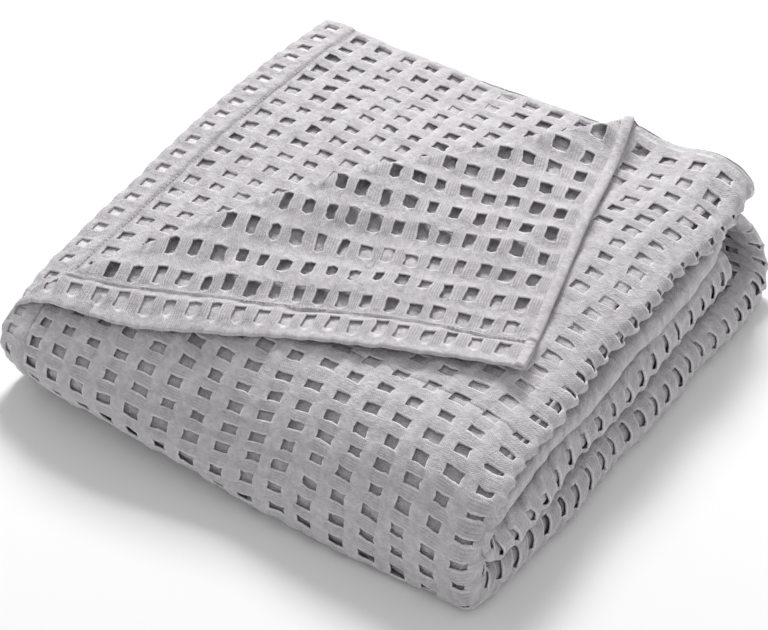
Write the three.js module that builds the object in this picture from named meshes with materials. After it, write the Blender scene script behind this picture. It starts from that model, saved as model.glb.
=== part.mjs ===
import * as THREE from 'three';

// Folded duvet cover of open-weave cotton, one cloth, sizes in millimetres.
// The cloth is doubled twice across x into four layers, and that strip is
// rolled flat along y into four runs: top, bottom, second and third.
// The back left corner of the topmost layer is turned over.

// Cloth
const CLOTH = 2.0;           // thickness of the weave
const HEM = 2.6;             // thickness where the cloth is hemmed
const WIDE_HEM = 30;         // end hem, along the left edge
const NARROW_HEM = 9;        // side hem, along the first and last rows
const TOP_LAYER = 1.5;       // layer places counted from the middle of a run
const UNDER_LAYER = 0.5;

// Folded outline
const LEFT = -223;           // wide hem edge of the topmost layer
const UNDER_LEFT = -224;     // wide hem edge of the layer below it
const FOLD_LEFT = -214;      // middle fold of the cloth, at the left
const BACK = 227;            // free end of the top run
const BACK_BEND = 197;       // where the bend at the back begins
const INNER_END = 176;       // free end of the third run
const FULL_HEIGHT = 97;      // height of the pack before it settles

// Runs of the strip: level of its outer and inner layer, where its right fold
// starts at the back and at the front, and how far its left edge is drawn in
const RUNS = {
  top: { outer: 96.0, inner: 75.0, foldBack: 182, foldFront: 203, inBack: 0, inFront: 8 },
  bottom: { outer: 1.0, inner: 24.4, foldBack: 203, foldFront: 206, inBack: 6, inFront: 20 },
  second: { outer: 69.6, inner: 58.4, foldBack: 206, foldFront: 208, inBack: 6, inFront: 16 },
  third: { outer: 29.2, inner: 54.0, foldBack: 204, foldFront: 205, inBack: 8, inFront: 18 },
};

// Rounded front of the pack, a row for each place across it: where the bend
// leaves the top, its foremost line, where it meets the floor, the height and
// roundness of it, how far its layers are apart, and the inner bend's front
const FRONT = [
  { x: -220, crown: -141, nose: -209, foot: -162, rise: 0.45, round: 1.9, pitch: 6.0, inner: -174 },
  { x: -165, crown: -141, nose: -228, foot: -173, rise: 0.45, round: 1.7, pitch: 6.0, inner: -175 },
  { x: -98, crown: -141, nose: -234, foot: -178, rise: 0.42, round: 1.6, pitch: 6.0, inner: -175 },
  { x: 2, crown: -146, nose: -232, foot: -190, rise: 0.26, round: 1.4, pitch: 6.0, inner: -174 },
  { x: 52, crown: -141, nose: -230, foot: -198, rise: 0.15, round: 1.7, pitch: 6.2, inner: -175 },
  { x: 120, crown: -141, nose: -228, foot: -206, rise: 0.08, round: 2.1, pitch: 7.2, inner: -181 },
  { x: 220, crown: -143, nose: -226, foot: -210, rise: 0.07, round: 2.5, pitch: 8.6, inner: -187 },
];
const INNER_PITCH = 4.0;
const FOOT_SHARE = 0.8;      // layers stand closer at the floor than at the front
const BACK_BULGE = 0.95;     // depth of the bend at the back to its height

// Settled height of the pack, a row for each place from front to back
const SETTLED = [
  { y: -235, right: 97, left: 70, spread: 3.2 },
  { y: -170, right: 97, left: 67, spread: 2.4 },
  { y: -131, right: 97, left: 72, spread: 1.9 },
  { y: -85, right: 97, left: 82, spread: 1.6 },
  { y: -22, right: 98, left: 94, spread: 1.6 },
  { y: 44, right: 104, left: 103, spread: 1.6 },
  { y: 110, right: 105, left: 110, spread: 1.6 },
  { y: 227, right: 101, left: 111, spread: 1.6 },
];
const DROOP_FROM = -60;      // the left side settles from here to the hem

// Turned-over corner: ends of its fold line on the hem and on the back edge
const FOLD_A = { x: -209, y: -183 };
const FOLD_B = { x: 71, y: 209 };
const FOLD_BOW = 24;         // the line bows forward near the hem
const BOW_LENGTH = 320;
const BOW_AT_HEM = 0.5;      // share of the bow at the hem itself
const BOW_GROWTH = 2;
const FLAP_SAG = 30;         // the hem of the flap hangs forward between its ends
const SAG_WIDE = 190;        // width of cloth beside the hem that hangs
const SAG_FROM = 60;         // the hanging starts over this much of the flap
const FLAP_DEPTH = 250;      // from the fold line to the corner
const FLAP_SKEW = { x: 10, y: -27 };   // the corner is drawn towards the front
const ROLL_A = 6.4;          // radius of the turn at the hem
const ROLL_B = 6.5;          // radius of the turn at the back edge
const FLAP_LIFT = 5.5;       // flap above the layer it lies on
const FLAP_SETTLE = 45;
const PEAK_LIFT = 5;         // loose peak where the fold meets the back edge
const PEAK_LONG = 95;
const PEAK_WIDE = 42;
const UNDER_PUFF = 4;        // the bared layer below springs up a little
const PUFF_FROM = 40;
const PINCHED = 0.6;         // share of the thickness left where the fold leaves the hem
const PINCH_Y = -172;
const PINCH_REACH = 45;

// Gentle waves of the right-hand folds
const WAVE = 1.6;
const WAVE_LENGTH = 118;

// Mesh steps along the cloth
const STEPS = { flap: 6, turn: 5, main: 6, outer: 6, lower: 7, left: 3, third: 7, nested: 4, under: 7 };
const ROWS = { top: 17, front: 14, bottom: 5, back: 5, second: 6, inner: 5, third: 4 };
const CROWN_ROWS = 10;       // rows of the front bend down to its nose
const CROWN_BIAS = 0.4;
const FRONT_BIAS = 0.3;      // rows of a run gather towards the front
const SECOND_BIAS = 0.6;
const LEFT_BIAS = 0.4;       // steps of the lower layers gather towards the left
const FLAP_STEPS_END = 95;   // steps beside the hem where no corner is turned over
const TURN_STEPS_END = 130;
const TURN_MARGIN = 3;       // the turn's steps reach past it by this
const FLAP_LEAST = 6;        // least width of the flap's steps
const UNTURN_FROM = 0.17;    // share of the front bend where the steps begin to even out
const FOLD_SIDE = 15;        // the turn's steps follow the front this far inside the hem
const NEAR = 0.02;           // share of a step row used to find the face direction

const clamp01 = (v) => Math.min(1, Math.max(0, v));
const mix = (a, b, f) => a + (b - a) * f;
const ease = (f) => f * f * (3 - 2 * f);

// Value of a table column at a place between its rows, as a smooth curve
function column(rows, key, at, name) {
  const last = rows.length - 1;
  if (at <= rows[0][key]) return rows[0][name];
  if (at >= rows[last][key]) return rows[last][name];
  let k = 0;
  while (at > rows[k + 1][key]) k += 1;
  const slope = (i) => {
    const lo = Math.max(i - 1, 0);
    const hi = Math.min(i + 1, last);
    return (rows[hi][name] - rows[lo][name]) / (rows[hi][key] - rows[lo][key]);
  };
  const span = rows[k + 1][key] - rows[k][key];
  const f = (at - rows[k][key]) / span;
  const f2 = f * f;
  const f3 = f2 * f;
  return rows[k][name] * (2 * f3 - 3 * f2 + 1)
    + rows[k + 1][name] * (3 * f2 - 2 * f3)
    + span * (slope(k) * (f3 - 2 * f2 + f) + slope(k + 1) * (f3 - f2));
}

// Level of a layer place in a run
const level = (run, place) => mix(RUNS[run].outer, RUNS[run].inner, (TOP_LAYER - place) / 3);

// One bend at the front, from an upper run down to a lower run
function frontBend(shape, zUp, zLow, turn) {
  const zNose = mix(zLow, zUp, shape.rise);
  if (turn <= 0.5) {
    const angle = turn * Math.PI;
    const out = Math.sin(angle) ** (2 / shape.round);
    const up = Math.max(0, Math.cos(angle)) ** (2 / shape.round);
    return [mix(shape.crown, shape.nose, out), mix(zNose, zUp, up)];
  }
  const angle = turn * Math.PI;
  return [mix(shape.foot, shape.nose, Math.sin(angle)), mix(zNose, zLow, -Math.cos(angle))];
}

function frontShape(x, place, inner) {
  const at = (name) => column(FRONT, 'x', x, name);
  if (!inner) {
    const set = (TOP_LAYER - place) * at('pitch');
    return {
      crown: at('crown'),
      nose: at('nose') + set,
      foot: at('foot') + set * FOOT_SHARE,
      rise: at('rise'),
      round: at('round'),
    };
  }
  const nose = at('inner') + (TOP_LAYER - place) * INNER_PITCH;
  const half = (level('second', place) - level('third', place)) / 2;
  return { crown: nose + half, nose, foot: nose + half, rise: 0.5, round: 2 };
}

// Place of a layer along the rolled strip: y and z at a station of a leg
function along(leg, f, place, x) {
  if (leg === 'top') return [mix(BACK, frontShape(x, place, false).crown, f), level('top', place)];
  if (leg === 'front') {
    return frontBend(frontShape(x, place, false), level('top', place), level('bottom', place), f);
  }
  if (leg === 'bottom') return [mix(frontShape(x, place, false).foot, BACK_BEND, f), level('bottom', place)];
  if (leg === 'back') {
    const half = (level('second', place) - level('bottom', place)) / 2;
    const angle = f * Math.PI;
    const out = half * BACK_BULGE * Math.sin(angle);
    return [BACK_BEND + out, level('bottom', place) + half * (1 - Math.cos(angle))];
  }
  if (leg === 'second') return [mix(BACK_BEND, frontShape(x, place, true).crown, f), level('second', place)];
  if (leg === 'inner') {
    return frontBend(frontShape(x, place, true), level('second', place), level('third', place), f);
  }
  return [mix(frontShape(x, place, true).foot, INNER_END, f), level('third', place)];
}

// Runs that a leg joins and the ends it starts and stops at, for the widths across it
const JOINS = {
  top: { from: 'top', to: 'top', start: 'Back', stop: 'Front' },
  front: { from: 'top', to: 'bottom', start: 'Front', stop: 'Front' },
  bottom: { from: 'bottom', to: 'bottom', start: 'Front', stop: 'Back' },
  back: { from: 'bottom', to: 'second', start: 'Back', stop: 'Back' },
  second: { from: 'second', to: 'second', start: 'Back', stop: 'Front' },
  inner: { from: 'second', to: 'third', start: 'Front', stop: 'Front' },
  third: { from: 'third', to: 'third', start: 'Front', stop: 'Back' },
};

function runSize(leg, f) {
  const { from, to, start, stop } = JOINS[leg];
  const pitch = (run) => Math.abs(RUNS[run].outer - RUNS[run].inner) / 3;
  const between = (name) => mix(RUNS[from][name + start], RUNS[to][name + stop], ease(f));
  return {
    pitch: mix(pitch(from), pitch(to), ease(f)),
    fold: between('fold'),
    drawn: between('in'),
  };
}

// Top of the topmost layer over the plan, before the pack settles
function topLevel(x, y) {
  const s = frontShape(x, TOP_LAYER, false);
  const zUp = level('top', TOP_LAYER);
  const peak = PEAK_LIFT * peakShare(x, y);
  if (y >= s.crown) return zUp + peak;
  const zNose = mix(level('bottom', TOP_LAYER), zUp, s.rise);
  const out = clamp01((s.crown - y) / (s.crown - s.nose));
  return mix(zNose, zUp, Math.max(0, 1 - out ** s.round) ** (1 / s.round)) + peak;
}

// Distance along the fold line and beyond it, towards the corner
const foldLength = Math.hypot(FOLD_B.x - FOLD_A.x, FOLD_B.y - FOLD_A.y);
const foldX = (FOLD_B.x - FOLD_A.x) / foldLength;
const foldY = (FOLD_B.y - FOLD_A.y) / foldLength;

function foldBow(run) {
  const t = clamp01(run / BOW_LENGTH);
  return FOLD_BOW * (1 - ease(t)) * ease(clamp01(BOW_AT_HEM + BOW_GROWTH * t));
}

function acrossFold(x, y) {
  const run = (x - FOLD_A.x) * foldX + (y - FOLD_A.y) * foldY;
  const past = (y - FOLD_A.y) * foldX - (x - FOLD_A.x) * foldY + foldBow(run);
  return { run, past };
}

function peakShare(x, y) {
  const { run, past } = acrossFold(x, y);
  return Math.exp(-(((run - foldLength) / PEAK_LONG) ** 2) - (past / PEAK_WIDE) ** 2);
}

// The topmost layer with its corner turned over
function turned(x, y) {
  const { run, past } = acrossFold(x, y);
  if (past <= 0) return null;
  const roll = mix(ROLL_A, ROLL_B, clamp01(run / foldLength));
  const angle = past / roll;
  let shift = -(past - Math.PI * roll);
  let lift = FLAP_LIFT + (2 * roll - FLAP_LIFT) * Math.exp(-(past - Math.PI * roll) / FLAP_SETTLE);
  if (angle < Math.PI) {
    shift = roll * Math.sin(angle);
    lift = roll * (1 - Math.cos(angle));
  }
  // The flap's hem, at the left of the flat cloth, hangs forward between its ends
  const fromHem = clamp01(1 - (x - LEFT) / SAG_WIDE);
  const sag = FLAP_SAG * ease(fromHem) * Math.sin(Math.PI * clamp01((y - FOLD_A.y) / (BACK - FOLD_A.y)));
  const beyond = Math.max(0, past - Math.PI * roll);
  const move = shift - past - sag * ease(clamp01(beyond / SAG_FROM));
  const skew = beyond / FLAP_DEPTH;
  return { x: x - foldY * move + FLAP_SKEW.x * skew, y: y + foldX * move + FLAP_SKEW.y * skew, lift };
}

// Sections across the cloth: each group gives x and the layer place
const GROUPS = Object.keys(STEPS);

function foldAt(y) {
  const run = (y - FOLD_A.y) / foldY;
  return FOLD_A.x + run * foldX + foldBow(run) / foldY;
}

function across(group, f, leg, rowF, yTop, yFold) {
  const size = runSize(leg, rowF);
  const wave = WAVE * Math.sin((yTop / WAVE_LENGTH + RUNS[JOINS[leg].from].outer) * 2 * Math.PI);
  const fold = size.fold + wave;
  const hemEdge = LEFT + size.drawn;
  const underEdge = UNDER_LEFT + size.drawn;
  const foldEdge = FOLD_LEFT + size.drawn;
  const roll = TOP_LAYER * size.pitch;
  const nested = UNDER_LAYER * size.pitch;
  const turn = f * Math.PI;
  if (group === 'outer') return [fold + roll * Math.sin(turn), TOP_LAYER * Math.cos(turn)];
  if (group === 'lower') return [mix(fold, foldEdge + nested, f + LEFT_BIAS * f * (1 - f)), -TOP_LAYER];
  if (group === 'left') return [foldEdge + nested * (1 - Math.sin(turn)), -1 - 0.5 * Math.cos(turn)];
  if (group === 'third') return [mix(foldEdge + nested, fold, f - LEFT_BIAS * f * (1 - f)), -UNDER_LAYER];
  if (group === 'nested') return [fold + nested * Math.sin(turn), -UNDER_LAYER * Math.cos(turn)];
  if (group === 'under') return [mix(fold, underEdge, f + LEFT_BIAS * f * (1 - f)), UNDER_LAYER];
  // The topmost layer: steps gather round the turned-over corner's fold line
  let flapEnd = hemEdge + FLAP_STEPS_END;
  let turnEnd = hemEdge + TURN_STEPS_END;
  if (leg === 'top' || leg === 'front') {
    const share = leg === 'top' ? 0 : ease(clamp01((rowF - UNTURN_FROM) / (1 - UNTURN_FROM)));
    const turnRoll = mix(ROLL_A, ROLL_B, clamp01((yFold - FOLD_A.y) / (BACK - FOLD_A.y)));
    const wide = Math.PI * turnRoll / foldY + TURN_MARGIN;
    const line = Math.max(foldAt(yFold), hemEdge + wide + FLAP_LEAST);
    flapEnd = mix(line - wide, flapEnd, share);
    turnEnd = mix(line + TURN_MARGIN, turnEnd, share);
  }
  if (group === 'flap') return [mix(hemEdge, flapEnd, f), TOP_LAYER];
  if (group === 'turn') return [mix(flapEnd, turnEnd, f), TOP_LAYER];
  return [mix(turnEnd, fold, f), TOP_LAYER];
}

// Share of a leg at one of its rows
function station(leg, k) {
  const f = k / ROWS[leg];
  if (leg === 'top') return f + FRONT_BIAS * f * (1 - f);
  if (leg === 'second') return f + SECOND_BIAS * f * (1 - f);
  if (leg === 'bottom' || leg === 'third') return f - FRONT_BIAS * f * (1 - f);
  if (leg !== 'front') return f;
  const c = k / CROWN_ROWS;
  if (k <= CROWN_ROWS) return 0.5 * (c - CROWN_BIAS * c * (1 - c));
  return 0.5 + 0.5 * (k - CROWN_ROWS) / (ROWS.front - CROWN_ROWS);
}

// Middle surface of the cloth, as a grid of rows along the strip
function middleSurface() {
  const rows = [];
  for (const leg of Object.keys(ROWS)) {
    const first = rows.length ? 1 : 0;
    for (let k = first; k <= ROWS[leg]; k += 1) {
      const f = station(leg, k);
      const row = [];
      for (const group of GROUPS) {
        const start = row.length ? 1 : 0;
        for (let i = start; i <= STEPS[group]; i += 1) row.push(clothNode(group, i / STEPS[group], leg, f));
      }
      rows.push(row);
    }
  }
  return rows;
}

// A point of the middle surface with the direction its face looks
function clothNode(group, t, leg, f) {
  const spot = (tt, ff) => {
    const p = clothSpot(group, clamp01(tt), leg, clamp01(ff));
    return new THREE.Vector3(p.x, p.y, p.z);
  };
  const alongRow = spot(t + NEAR, f).sub(spot(t - NEAR, f));
  const alongStrip = spot(t, f + NEAR).sub(spot(t, f - NEAR));
  const normal = alongStrip.cross(alongRow).normalize();
  return { place: spot(t, f), normal, half: clothSpot(group, t, leg, f).half };
}

function clothSpot(group, t, leg, f) {
  const yTop = along(leg, f, TOP_LAYER, 0)[0];
  const yFold = along(leg, f, TOP_LAYER, FOLD_A.x + FOLD_SIDE)[0];
  const [x, place] = across(group, t, leg, f, yTop, yFold);
  const [y, z] = along(leg, f, place, x);
  return clothPoint(group, leg, f, x, y, z);
}

// A point of the cloth with its hem thickness, the corner turned over if it is there
// The end hem is pressed flat where it lies on the floor
function clothPoint(group, leg, f, x, y, z) {
  const topLayer = ['flap', 'turn', 'main'].includes(group);
  const upper = leg === 'top' || (leg === 'front' && f < 0.5);
  const pressed = leg === 'bottom' || (leg === 'front' && !upper);
  const hemmed = (group === 'flap' && !pressed && x < LEFT + WIDE_HEM)
    || (group === 'under' && x < UNDER_LEFT + WIDE_HEM)
    || (leg === 'top' && y > BACK - NARROW_HEM)
    || (leg === 'third' && y > INNER_END - NARROW_HEM);
  const pinch = PINCHED + (1 - PINCHED) * clamp01(Math.hypot(x - LEFT, y - PINCH_Y) / PINCH_REACH);
  const half = (hemmed ? HEM : CLOTH) / 2 * (group === 'under' ? 1 : pinch);
  if (topLayer && upper) {
    const over = turned(x, y);
    if (over) return { x: over.x, y: over.y, z: topLevel(over.x, over.y) + over.lift, half };
    return { x, y, z: z + PEAK_LIFT * peakShare(x, y), half };
  }
  if (group === 'under' && leg === 'top') {
    const bare = ease(clamp01(acrossFold(x, y).past / PUFF_FROM));
    return { x, y, z: z + UNDER_PUFF * bare, half };
  }
  return { x, y, z, half };
}

// The pack settles: its height follows the table, the left side droops to the front
function settled(p) {
  const spread = column(SETTLED, 'y', p.y, 'spread');
  const share = clamp01((DROOP_FROM - p.x) / (DROOP_FROM - LEFT)) ** spread;
  const height = mix(column(SETTLED, 'y', p.y, 'right'), column(SETTLED, 'y', p.y, 'left'), share);
  return new THREE.Vector3(p.x, p.y, p.z * height / FULL_HEIGHT);
}

// Closed sheet: both faces of the cloth and its rims
function clothGeometry(grid) {
  const rows = grid.length;
  const cols = grid[0].length;
  const points = [];
  for (const side of [1, -1]) {
    for (let j = 0; j < rows; j += 1) {
      for (let i = 0; i < cols; i += 1) {
        const { place, normal, half } = grid[j][i];
        points.push(settled(place.clone().addScaledVector(normal, side * half)));
      }
    }
  }
  const at = (side, j, i) => side * rows * cols + j * cols + i;
  const faces = [];
  const quad = (a, b, c, d) => faces.push(a, b, c, a, c, d);
  for (let j = 0; j < rows - 1; j += 1) {
    for (let i = 0; i < cols - 1; i += 1) {
      quad(at(0, j, i), at(0, j + 1, i), at(0, j + 1, i + 1), at(0, j, i + 1));
      quad(at(1, j, i), at(1, j, i + 1), at(1, j + 1, i + 1), at(1, j + 1, i));
    }
  }
  for (let j = 0; j < rows - 1; j += 1) {
    quad(at(0, j + 1, 0), at(0, j, 0), at(1, j, 0), at(1, j + 1, 0));
    quad(at(0, j, cols - 1), at(0, j + 1, cols - 1), at(1, j + 1, cols - 1), at(1, j, cols - 1));
  }
  for (let i = 0; i < cols - 1; i += 1) {
    quad(at(0, 0, i), at(0, 0, i + 1), at(1, 0, i + 1), at(1, 0, i));
    quad(at(0, rows - 1, i + 1), at(0, rows - 1, i), at(1, rows - 1, i), at(1, rows - 1, i + 1));
  }
  const geometry = new THREE.BufferGeometry().setFromPoints(points);
  geometry.setIndex(faces);
  return geometry;
}

const geometry = clothGeometry(middleSurface());

// Origin at the middle of the footprint, on the surface it rests on
geometry.computeBoundingBox();
const box = geometry.boundingBox;
geometry.translate(-(box.min.x + box.max.x) / 2, -(box.min.y + box.max.y) / 2, -box.min.z);
geometry.computeVertexNormals();

const LIGHT_GREY = 0xc9c6c9;
const MATT = 0.95;
const look = { name: 'light grey cotton', color: LIGHT_GREY, roughness: MATT };
const cotton = new THREE.MeshStandardMaterial(look);
const cover = new THREE.Mesh(geometry, cotton);
cover.name = 'duvet_cover';

const group = new THREE.Group();
group.name = 'folded_duvet_cover';
group.add(cover);

export default group;
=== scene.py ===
# %% [markdown]
# # Folded waffle-weave duvet cover
#
# The real thing is one light grey cotton cloth, woven with rows of open windows, hemmed, and folded
# into a square pack with one corner turned over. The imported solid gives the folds. It could be dressed
# with a bump map alone, but the windows are real holes that show the layer below, so this script lays a
# much finer cloth on the same folds and cuts the windows out of it.

# %% Frame and units
import math

import bmesh
import bpy
import numpy as np
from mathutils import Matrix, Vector


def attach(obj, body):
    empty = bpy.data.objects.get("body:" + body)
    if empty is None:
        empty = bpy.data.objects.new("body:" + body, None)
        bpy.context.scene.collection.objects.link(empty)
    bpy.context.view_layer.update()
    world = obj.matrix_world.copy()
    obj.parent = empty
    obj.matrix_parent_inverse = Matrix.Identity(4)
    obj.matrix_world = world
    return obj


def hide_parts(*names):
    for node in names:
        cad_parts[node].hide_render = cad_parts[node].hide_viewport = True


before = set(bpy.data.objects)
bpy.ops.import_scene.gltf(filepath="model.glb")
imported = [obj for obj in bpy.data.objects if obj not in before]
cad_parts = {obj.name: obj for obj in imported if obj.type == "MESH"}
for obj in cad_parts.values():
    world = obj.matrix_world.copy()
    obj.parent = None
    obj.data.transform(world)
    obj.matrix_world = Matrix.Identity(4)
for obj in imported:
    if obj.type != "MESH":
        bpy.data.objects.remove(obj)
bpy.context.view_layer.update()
MM = 0.001

# %% [markdown]
# ## Camera, light and floor
#
# The photograph looks down on the near right corner with a long lens. The camera could be aimed by hand,
# but its place was fitted to the rows of windows, so that every fold lands where the photograph has it.
# Soft light falls from above and behind on the left, and a pale floor takes the contact shadow.

# %% Camera
CAMERA_AT = (758.1, -1082.1, 1017.8)
AZIMUTH = math.radians(35.18)
ELEVATION = math.radians(37.04)
LENS = 99.7
SENSOR = 36.0


def photo_camera():
    lens = bpy.data.cameras.new("photo_camera")
    lens.lens = LENS
    lens.sensor_width = SENSOR
    camera = bpy.data.objects.new("photo_camera", lens)
    bpy.context.scene.collection.objects.link(camera)
    camera.location = Vector(CAMERA_AT) * MM
    level_step = math.cos(ELEVATION)
    looks = Vector((-math.sin(AZIMUTH) * level_step, math.cos(AZIMUTH) * level_step, -math.sin(ELEVATION)))
    camera.rotation_euler = looks.to_track_quat("-Z", "Y").to_euler()
    bpy.context.scene.camera = camera
    return camera


print("camera", photo_camera().location)

# %% Light and floor
bpy.context.scene.view_settings.view_transform = "Standard"
LIGHTS = [
    {"name": "key", "at": (-1.1, 1.7, 1.9), "size": 0.8, "watts": 72.0},
    {"name": "fill", "at": (2.2, -1.3, 1.5), "size": 2.4, "watts": 4.5},
]
FLOOR_SPAN = 12.0
SKY = 0.5


def soft_light(name, at, size, watts):
    lamp = bpy.data.lights.new(name, "AREA")
    lamp.size = size
    lamp.energy = watts
    light = bpy.data.objects.new(name, lamp)
    bpy.context.scene.collection.objects.link(light)
    light.location = at
    light.rotation_euler = (-Vector(at)).to_track_quat("-Z", "Y").to_euler()
    return light


def linear(hex_colour):
    """Linear colour of an sRGB hex value."""
    parts = [int(hex_colour[i:i + 2], 16) / 255 for i in (1, 3, 5)]
    return tuple(c / 12.92 if c <= 0.04045 else ((c + 0.055) / 1.055) ** 2.4 for c in parts) + (1.0,)


def add_node(tree, kind, sets=(), links=(), **settings):
    """One node with its settings, its socket values and what is linked into it."""
    node = tree.nodes.new(kind)
    for name, value in settings.items():
        setattr(node, name, value)
    for socket, value in sets:
        node.inputs[socket].default_value = value
    for socket, source in links:
        tree.links.new(source, node.inputs[socket])
    return node


def floor_paint():
    paint = bpy.data.materials.new("white paper sweep")
    paint.use_nodes = True
    shader = paint.node_tree.nodes["Principled BSDF"]
    shader.inputs["Base Color"].default_value = linear("#fafafa")
    shader.inputs["Roughness"].default_value = 0.9
    shader.inputs["Specular IOR Level"].default_value = 0.1
    return paint


def pale_floor():
    bm = bmesh.new()
    bmesh.ops.create_grid(bm, x_segments=1, y_segments=1, size=FLOOR_SPAN / 2)
    mesh = bpy.data.meshes.new("floor")
    bm.to_mesh(mesh)
    bm.free()
    mesh.materials.append(floor_paint())
    floor = bpy.data.objects.new("floor", mesh)
    bpy.context.scene.collection.objects.link(floor)
    return floor


world = bpy.data.worlds.new("studio")
world.use_nodes = True
world.node_tree.nodes["Background"].inputs["Color"].default_value = (1.0, 1.0, 1.0, 1.0)
world.node_tree.nodes["Background"].inputs["Strength"].default_value = SKY
bpy.context.scene.world = world
for light in LIGHTS:
    soft_light(**light)
print("floor", pale_floor().name, "lights", [light["name"] for light in LIGHTS])

# %% [markdown]
# ## The folds
#
# A maker doubles the cloth twice across, which gives four layers, and rolls that strip flat into four
# runs: top, bottom, second and third. The simplest way to repeat this in Blender would be to shrink a
# sheet onto the solid, but then the weave would smear. So the folds are written as a map: a place on the
# flat cloth, in millimetres, goes to a place in space. The sizes are the solid's own.

# %% Sizes of the folds, in millimetres
PACK_MIDDLE = np.array([-1.94, -2.77])
TOP_LAYER = 1.5
LEFT = -223.0
UNDER_LEFT = -224.0
FOLD_LEFT = -214.0
BACK = 227.0
BACK_BEND = 197.0
INNER_END = 176.0
FULL_HEIGHT = 97.0
INNER_PITCH = 4.0
FOOT_SHARE = 0.8
BACK_BULGE = 0.95
WAVE = 1.6
WAVE_LENGTH = 118.0

# Level of the outer and inner layer of each run, how far its left edge is drawn in at the back and the
# front, the phase of the wave along its right-hand fold, and the places of its two middle layers
RUNS = {
    "top": {"outer": 96.0, "inner": 75.0, "drawn": (0, 8), "phase": 0.0, "second": 1.11, "third": 0.71},
    "bottom": {"outer": 1.0, "inner": 24.4, "drawn": (6, 20), "phase": 0.0, "second": 1.05, "third": 0.6},
    "second": {"outer": 69.6, "inner": 58.4, "drawn": (6, 16), "phase": 0.6, "second": 0.5, "third": -0.5},
    "third": {"outer": 29.2, "inner": 54.0, "drawn": (8, 18), "phase": 0.2, "second": 0.9, "third": 0.3},
}
# Along the strip from its top back edge: x where its right-hand fold starts, and the weave at that fold
RIGHT = [
    {"v": 0, "fold": 183, "mid": 414.5},
    {"v": 70, "fold": 187, "mid": 418.5},
    {"v": 200, "fold": 189, "mid": 420.5},
    {"v": 290, "fold": 193, "mid": 424.5},
    {"v": 368, "fold": 202, "mid": 433.5},
    {"v": 450, "fold": 206, "mid": 433.0},
    {"v": 536, "fold": 211, "mid": 432.0},
    {"v": 575, "fold": 215, "mid": 432.0},
    {"v": 740, "fold": 212, "mid": 432.0},
    {"v": 938, "fold": 207, "mid": 432.0},
    {"v": 990, "fold": 196, "mid": 432.0},
    {"v": 1044, "fold": 179, "mid": 432.0},
    {"v": 1110, "fold": 196, "mid": 432.0},
    {"v": 1230, "fold": 202, "mid": 432.0},
    {"v": 1330, "fold": 205, "mid": 432.0},
    {"v": 1416, "fold": 211, "mid": 432.0},
    {"v": 1472, "fold": 215, "mid": 436.0},
    {"v": 1560, "fold": 206, "mid": 436.0},
    {"v": 1650, "fold": 202, "mid": 436.0},
    {"v": 1825, "fold": 192, "mid": 436.0},
]
# Across the pack: y of the front bend's crown, nose and foot, its nose's share of the height, its
# roundness, how far its layers are apart, and y of the inner bend's nose
FRONT = [
    {"x": -220, "crown": -141, "nose": -209, "foot": -162,
     "rise": 0.45, "round": 1.9, "pitch": 6.0, "inner": -174},
    {"x": -165, "crown": -141, "nose": -228, "foot": -173,
     "rise": 0.45, "round": 1.7, "pitch": 6.0, "inner": -175},
    {"x": -98, "crown": -141, "nose": -234, "foot": -178,
     "rise": 0.42, "round": 1.6, "pitch": 6.0, "inner": -175},
    {"x": 2, "crown": -146, "nose": -232, "foot": -190,
     "rise": 0.26, "round": 1.4, "pitch": 6.0, "inner": -174},
    {"x": 52, "crown": -141, "nose": -230, "foot": -198,
     "rise": 0.15, "round": 1.7, "pitch": 6.2, "inner": -175},
    {"x": 120, "crown": -141, "nose": -228, "foot": -206,
     "rise": 0.08, "round": 2.1, "pitch": 7.2, "inner": -181},
    {"x": 195, "crown": -142, "nose": -226, "foot": -209,
     "rise": 0.07, "round": 2.4, "pitch": 8.3, "inner": -190},
    {"x": 220, "crown": -143, "nose": -226, "foot": -210,
     "rise": 0.07, "round": 2.5, "pitch": 8.6, "inner": -211},
]
# From front to back: height of the settled pack at its right and left, and how late it falls to the left
SETTLED = [
    {"y": -235, "right": 95, "left": 70, "spread": 3.2},
    {"y": -170, "right": 94, "left": 67, "spread": 2.4},
    {"y": -131, "right": 94.5, "left": 72, "spread": 1.9},
    {"y": -85, "right": 97, "left": 82, "spread": 1.6},
    {"y": -22, "right": 99, "left": 94, "spread": 1.6},
    {"y": 44, "right": 104, "left": 103, "spread": 1.6},
    {"y": 110, "right": 105, "left": 110, "spread": 1.6},
    {"y": 227, "right": 101, "left": 111, "spread": 1.6},
]
DROOP_FROM = -60.0
print("runs of the strip", list(RUNS))


# %% Curves through the sizes
def mix(a, b, f):
    return a + (b - a) * f


def unit(f):
    return np.clip(f, 0, 1)


def ease(f):
    f = unit(f)
    return f * f * (3 - 2 * f)


def ramp(at, start, length):
    """A soft step from 0 to 1."""
    return ease((at - start) / length)


def curve_through(rows, key, name):
    """A smooth curve through one column of a table."""
    at = np.array([row[key] for row in rows], float)
    value = np.array([row[name] for row in rows], float)
    slope = np.gradient(value, at)
    slope[1:-1] = (value[2:] - value[:-2]) / (at[2:] - at[:-2])

    def between(x):
        x = np.clip(x, at[0], at[-1])
        k = np.clip(np.searchsorted(at, x, side="right") - 1, 0, len(at) - 2)
        span = at[k + 1] - at[k]
        f = (x - at[k]) / span
        rise = 3 * f ** 2 - 2 * f ** 3
        bow = span * (slope[k] * (f ** 3 - 2 * f ** 2 + f) + slope[k + 1] * (f ** 3 - f ** 2))
        return mix(value[k], value[k + 1], rise) + bow

    return between


front = {name: curve_through(FRONT, "x", name) for name in FRONT[0] if name != "x"}
settled = {name: curve_through(SETTLED, "y", name) for name in SETTLED[0] if name != "y"}
right = {name: curve_through(RIGHT, "v", name) for name in RIGHT[0] if name != "v"}
print("front nose in the middle", float(front["nose"](0.0)))

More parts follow.
